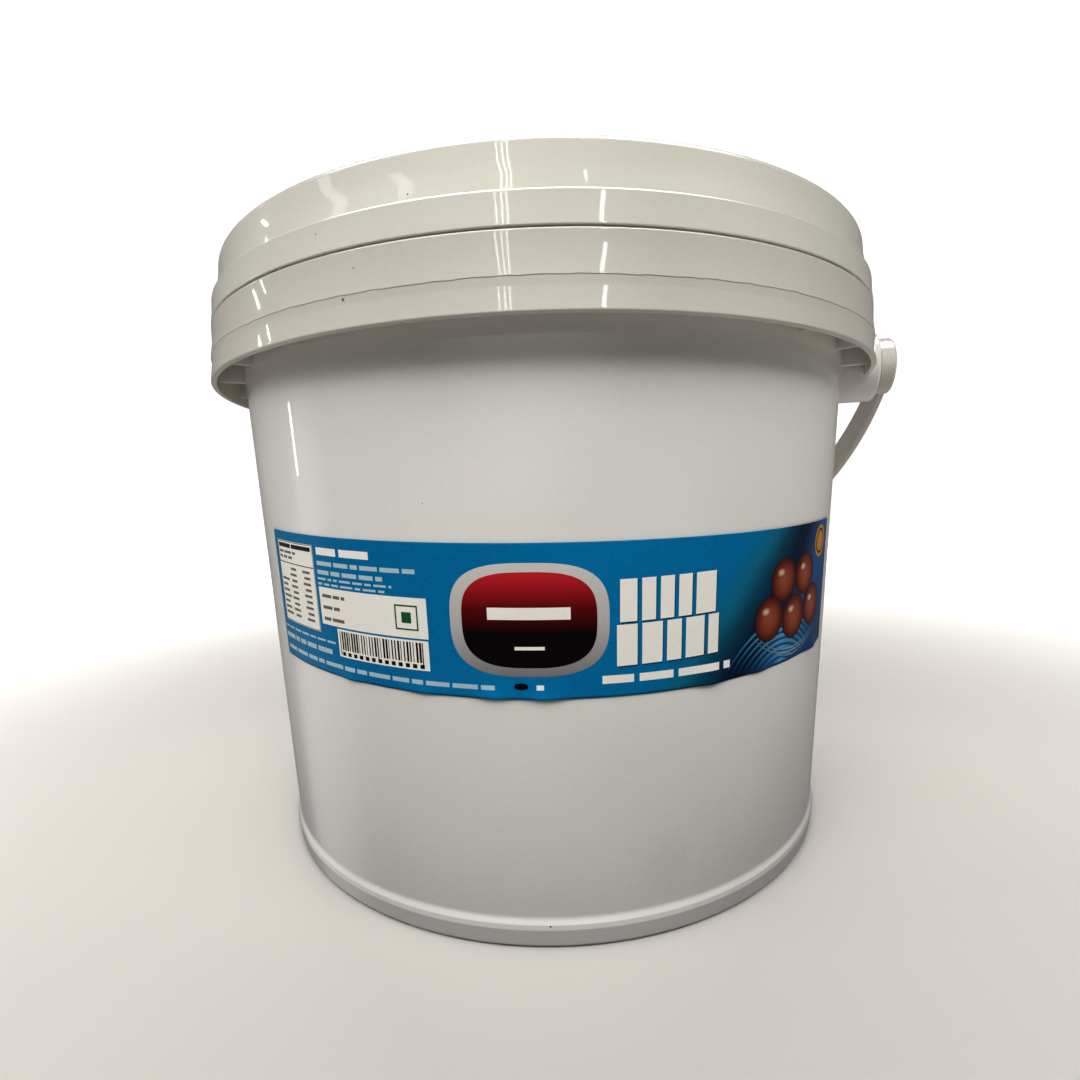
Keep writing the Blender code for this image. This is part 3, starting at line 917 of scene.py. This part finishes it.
# dark grains: bearing in degrees, height, radius
SPECKS = ((-101.0, 222.6, 0.20), (-89.5, 228.2, 0.22), (-96.0, 211.0, 0.18), (-97.4, 203.0, 0.30),
          (-92.0, 146.0, 0.17), (-77.0, 8.4, 0.30), (-94.0, 14.5, 0.16), (-45.0, 60.0, 0.18),
          (60.0, 120.0, 0.2), (150.0, 70.0, 0.18))


def surface_radius(height):
    """Outer radius of the shut pail at a height."""
    if height > LID_EDGE_Z:
        return np.interp(height, (LID_STEP_Z, LID_STEP_Z + 1.1, HEIGHT / MM),
                         (LID_BAND_R, LID_BAND_R - 1.1, LID_TOP_R))
    if height > SKIRT_Z:
        return np.interp(height, (SKIRT_Z, COLLAR_TOP), (COLLAR_R / MM, COLLAR_TOP_R))
    if height > WALL_LOW[1]:
        return wall_radius(height)
    return BEAD_R


def make_specks():
    """Dark grains moulded into the skin: flat domes a few tenths of a millimetre across.

    A dome's height falls with the square of the distance from its middle.
    """
    material, tree, shader, place = new_material("carbon_speck")
    grain = colour_run(tree, noise(tree, place, 4000.0), ((0.0, "#17140f"), (1.0, "#4a4338")))
    fill(tree, shader, {"Base Color": grain, "Roughness": 0.6})
    t, ring = np.meshgrid(np.linspace(0, TURN, 13), np.linspace(1, 0, 4), indexing="ij")
    grids = []
    for degrees, height, size in SPECKS:
        angle = math.radians(degrees) + size * ring * np.cos(t) / LABEL_R
        radius = surface_radius(height) + 0.02 + 0.12 * (1 - ring ** 2)
        grids.append(polar(radius, angle, height + size * ring * np.sin(t)))
    specks = make_piece("moulded_specks", grids, material)
    carry(specks, "pail", "pail_plastic")


# ---------------------------------------------------------------- studio

CAMERA_BEARING = math.radians(-76.0)
CAMERA_DISTANCE = 0.3006
CAMERA_HEIGHT = 0.1481
CAMERA_TURN = math.radians(14.66)
CAMERA_DROP = math.radians(4.76)
CAMERA_ROLL = math.radians(-1.70)
CAMERA_LENS = 18.93
AIM = (0, 0, 0.15)
RING = 0.9
WARM = (1.0, 0.99, 0.975)
PAPER_WARM = (1.0, 0.955, 0.92)
# softboxes: name, bearing, elevation, size, share of the light
STUDIO_LIGHTS = (
    ("key", -90, 40, (1.7, 0.36), 0.78), ("key_high", -80, 60, (1.2, 0.5), 0.95),
    ("key_right", -32, 40, (0.8, 0.36), 0.52), ("fill_left", -136, 27, (0.8, 0.3), 0.26),
    ("side_left", -168, 14, (0.6, 0.4), 0.10), ("side_right", -2, 22, (0.6, 0.3), 0.03),
    ("back", 104, 44, (1.8, 0.5), 1.6))
# the light that paper throws back up, as strips laid flat round the pail: bearing, width, share
FLOOR_GLOWS = ((-75.3, 2.0, 0.275), (14.7, 0.4, 0.15), (104.7, 2.0, 0.16), (-165.3, 0.4, 0.085))
GLOW_DISTANCE = 0.6
GLOW_DEPTH = 0.8
# slits, lamps, panes and windows that only gloss shows: bearing, elevation, width, height, share
SLIM_LIGHTS = (
    (-84.6, 48.0, 0.008, 1.30, 1.0), (-86.1, 48.0, 0.008, 1.30, 1.0),
    (-87.9, 48.0, 0.008, 1.30, 1.0), (-58.5, 54.0, 0.018, 0.26, 0.8),
    (-57.5, 30.8, 0.018, 0.16, 1.0), (-169.0, 3.5, 0.015, 0.12, 1.0),
    (-120.8, 49.5, 0.085, 0.50, 0.16), (-143.5, 43.0, 0.080, 0.40, 0.14),
    (-172.0, 33.0, 0.030, 0.05, 1.0), (-168.0, 22.5, 0.018, 0.05, 1.0),
    (-163.0, 21.5, 0.010, 0.04, 1.0))
SLIM_POWER = 5.5            # per square metre, against the power that lights share
# glows of the room: bearing, elevation, angle to its edge, brightness
ROOM_GLOWS = ((0, 90, 28, 9.0), (-165, 70, 24, 8.0), (5, 70, 24, 7.0), (-80, 24, 40, 0.7),
              (-171, -3, 12, 0.5), (-178, -25, 25, 0.5))
ROOM_BASE = 0.2
# the paper's turned section, in millimetres: flat floor, round bend, upright wall
BEND_START = 1600.0
BEND_R = 1000.0
WALL_TOP = 3600.0
# distances in metres between which the paper turns from the floor's darker tone, painted shade
# round the pail, to the backdrop's
FLOOR_TO_FAR = (0.20, 1.0)


def make_camera():
    """A wide phone camera close to the pail, at half its height."""
    data = bpy.data.cameras.new("camera")
    data.sensor_width = 36.0
    data.lens = CAMERA_LENS
    data.clip_start = 0.01
    camera = add_object("camera", data)
    place = Vector((CAMERA_DISTANCE * math.cos(CAMERA_BEARING),
                    CAMERA_DISTANCE * math.sin(CAMERA_BEARING), CAMERA_HEIGHT))
    camera.matrix_world = (Matrix.Translation(place) @ Matrix.Rotation(CAMERA_TURN, 4, 'Z')
                           @ Matrix.Rotation(math.radians(90) - CAMERA_DROP, 4, 'X')
                           @ Matrix.Rotation(CAMERA_ROLL, 4, 'Z'))
    bpy.context.scene.camera = camera


def add_softbox(name, place, aim, size, power, colour):
    """A rectangular area light at a place, turned to face a point."""
    data = bpy.data.lights.new(name, 'AREA')
    data.shape = 'RECTANGLE'
    data.size, data.size_y = size
    data.energy = power
    data.color = colour
    light = add_object(name, data)
    way = Vector(aim) - Vector(place)
    face = way.to_track_quat('-Z', 'Y').to_matrix().to_4x4()
    light.matrix_world = Matrix.Translation(place) @ face
    return light


def round_axis(bearing_deg, distance, height):
    """A place round the pail, by its bearing about the axis."""
    bearing = math.radians(bearing_deg)
    return (distance * math.cos(bearing), distance * math.sin(bearing), height)


def hung(bearing_deg, lift_deg):
    """A place on an upright ring round the pail, so far above level as seen from its middle."""
    return round_axis(bearing_deg, RING, AIM[2] + RING * math.tan(math.radians(lift_deg)))


def make_room(looks):
    """A dim even room with soft round glows, which gloss shows and matt surfaces don't get.

    A glow's brightness rises smoothly from its edge to its middle, with the cosine of the angle
    between the glow's direction and the one looked in.
    """
    world = bpy.data.worlds.new("room")
    bpy.context.scene.world = world
    world.use_nodes = True
    tree = world.node_tree
    way = add_node(tree, "TexCoord")["Generated"]
    total = ROOM_BASE
    for bearing, lift, edge, brightness in ROOM_GLOWS:
        rise = math.radians(lift)
        toward = round_axis(bearing, math.cos(rise), math.sin(rise))
        glow = spread(tree, measure(tree, 'DOT_PRODUCT', way, toward),
                      (math.cos(math.radians(edge)), 1.0), (0.0, brightness), soft=True)
        total = work_out(tree, 'ADD', glow, total)
    power = work_out(tree, 'MULTIPLY', total, looks.room)
    fill(tree, tree.nodes["Background"], {"Color": (1.0, 0.985, 0.96, 1), "Strength": power})
    world.cycles_visibility.diffuse = False


def studio_paper(looks):
    """Matt paper, a darker warm grey near the pail as painted shade round it, that turns paler and
    starts to glow away from it.

    Its fibres cloud the tone by a few parts in a hundred. The glow isn't a light: it only shows
    as an even backdrop.
    """
    material, tree, shader, place = new_material("matt_studio_paper")
    far = spread(tree, measure(tree, 'LENGTH', place), FLOOR_TO_FAR, soft=True)
    paper = colour_run(tree, far, ((0.0, looks.floor), (1.0, looks.far)))
    fibre = spread(tree, noise(tree, place, 6.0, 4.0), (0.0, 1.0), (0.97, 1.0))
    fill(tree, shader, {"Base Color": tinted(tree, paper, fibre), "Emission Color": paper,
                        "Emission Strength": work_out(tree, 'MULTIPLY', far, looks.backlight),
                        "Roughness": 0.9, "Specular IOR Level": 0.0})
    material.cycles.emission_sampling = 'NONE'
    return material


def make_stage(looks):
    """Paper that rises all round into a backdrop, soft lights, and slim lights for the gloss.

    The paper is turned about the axis. The pail's matt tone gets no light from it, so flat strips
    stand in for what it would throw back, and the gloss doesn't show it.
    """
    bend = np.linspace(math.pi / 2, 0, 13)
    round_part = np.stack([BEND_START + BEND_R * np.sin(bend), BEND_R * (1 - np.cos(bend))], -1)
    profile = np.concatenate([[(BEND_START + BEND_R, WALL_TOP)], round_part, [(0.0, 0.0)]])
    sweep = make_piece("studio_sweep", [revolve(profile, 96)[:, ::-1]], studio_paper(looks))
    sweep.visible_glossy = False
    sweep.visible_diffuse = False
    make_room(looks)
    for name, bearing, lift, size, share in STUDIO_LIGHTS:
        light = add_softbox(name, hung(bearing, lift), AIM, size, looks.key * share, WARM)
        light.visible_glossy = False
    for bearing, width, share in FLOOR_GLOWS:
        glow = add_softbox("floor_glow", round_axis(bearing, GLOW_DISTANCE, MM),
                           round_axis(bearing, GLOW_DISTANCE + 0.1 * MM, 1.0),
                           (width, GLOW_DEPTH), looks.key * share, PAPER_WARM)
        glow.visible_glossy = False
        glow.visible_camera = False
    for bearing, lift, width, height, share in SLIM_LIGHTS:
        power = looks.key * SLIM_POWER * share * width * height
        slim = add_softbox("slim_light", hung(bearing, lift), AIM, (width, height), power, WARM)
        slim.visible_diffuse = False
    view = bpy.context.scene.view_settings
    view.view_transform = 'Standard'
    view.look = 'High Contrast'


# ---------------------------------------------------------------- operators and panel

class PieceOperator:
    """Shared settings of the operators that make the pail's pieces."""
    bl_options = {'REGISTER', 'UNDO'}


class FOODPAIL_OT_pail(PieceOperator, bpy.types.Operator):
    """Make the pail: turned shell, torn flash, ribs under the collar and the two ears"""
    bl_idname = "food_pail.pail"
    bl_label = "Pail"

    def execute(self, context):
        looks = context.scene.food_pail
        make_shell(looks)
        make_flash(looks)
        make_ribs(looks)
        make_ears(looks)
        return {'FINISHED'}


class FOODPAIL_OT_lid(PieceOperator, bpy.types.Operator):
    """Make the snap lid"""
    bl_idname = "food_pail.lid"
    bl_label = "Lid"

    def execute(self, context):
        make_lid(context.scene.food_pail)
        return {'FINISHED'}


class FOODPAIL_OT_handle(PieceOperator, bpy.types.Operator):
    """Make the strap handle and its hubs"""
    bl_idname = "food_pail.handle"
    bl_label = "Handle"

    def execute(self, context):
        make_handle(context.scene.food_pail)
        return {'FINISHED'}


class FOODPAIL_OT_label_film(PieceOperator, bpy.types.Operator):
    """Make the label's film"""
    bl_idname = "food_pail.label_film"
    bl_label = "Label film"

    def execute(self, context):
        make_film(context.scene.food_label)
        return {'FINISHED'}


class FOODPAIL_OT_label_print(PieceOperator, bpy.types.Operator):
    """Print the label: panels, bars, title blocks, badge and picture"""
    bl_idname = "food_pail.label_print"
    bl_label = "Label print"

    def execute(self, context):
        looks = context.scene.food_label
        make_panels(looks)
        make_small_print()
        make_white_print(looks)
        make_title(looks)
        make_badge(looks)
        make_picture()
        make_painted_edge_highlight()
        return {'FINISHED'}


class FOODPAIL_OT_specks(PieceOperator, bpy.types.Operator):
    """Make the dark grains in the plastic's skin"""
    bl_idname = "food_pail.specks"
    bl_label = "Specks"

    def execute(self, context):
        make_specks()
        return {'FINISHED'}


class FOODPAIL_OT_stage(PieceOperator, bpy.types.Operator):
    """Make the studio: camera, floor, backdrop and lights"""
    bl_idname = "food_pail.stage"
    bl_label = "Stage"

    def execute(self, context):
        make_camera()
        make_stage(context.scene.food_stage)
        return {'FINISHED'}


OPERATORS = (FOODPAIL_OT_stage, FOODPAIL_OT_pail, FOODPAIL_OT_lid, FOODPAIL_OT_handle,
             FOODPAIL_OT_label_film, FOODPAIL_OT_label_print, FOODPAIL_OT_specks)


class FOODPAIL_PT_panel(bpy.types.Panel):
    """Lists the pail's settings and pieces"""
    bl_idname = "FOODPAIL_PT_panel"
    bl_label = "Food Pail"
    bl_space_type = 'VIEW_3D'
    bl_region_type = 'UI'
    bl_category = "Food Pail"

    def draw(self, context):
        for looks in (context.scene.food_pail, context.scene.food_label, context.scene.food_stage):
            box = self.layout.box()
            for name in looks.__annotations__:
                box.prop(looks, name)
        for operator in OPERATORS:
            self.layout.operator(operator.bl_idname)


CLASSES = (PailLooks, LabelLooks, StageLooks) + OPERATORS + (FOODPAIL_PT_panel,)


def register():
    for item in CLASSES:
        bpy.utils.register_class(item)
    bpy.types.Scene.food_pail = PointerProperty(type=PailLooks)
    bpy.types.Scene.food_label = PointerProperty(type=LabelLooks)
    bpy.types.Scene.food_stage = PointerProperty(type=StageLooks)


def unregister():
    del bpy.types.Scene.food_stage
    del bpy.types.Scene.food_label
    del bpy.types.Scene.food_pail
    for item in reversed(CLASSES):
        bpy.utils.unregister_class(item)


def main():
    register()
    bpy.ops.food_pail.stage()
    bpy.ops.food_pail.pail()
    bpy.ops.food_pail.lid()
    bpy.ops.food_pail.handle()
    bpy.ops.food_pail.label_film()
    bpy.ops.food_pail.label_print()
    bpy.ops.food_pail.specks()


if __name__ == "__main__":
    main()
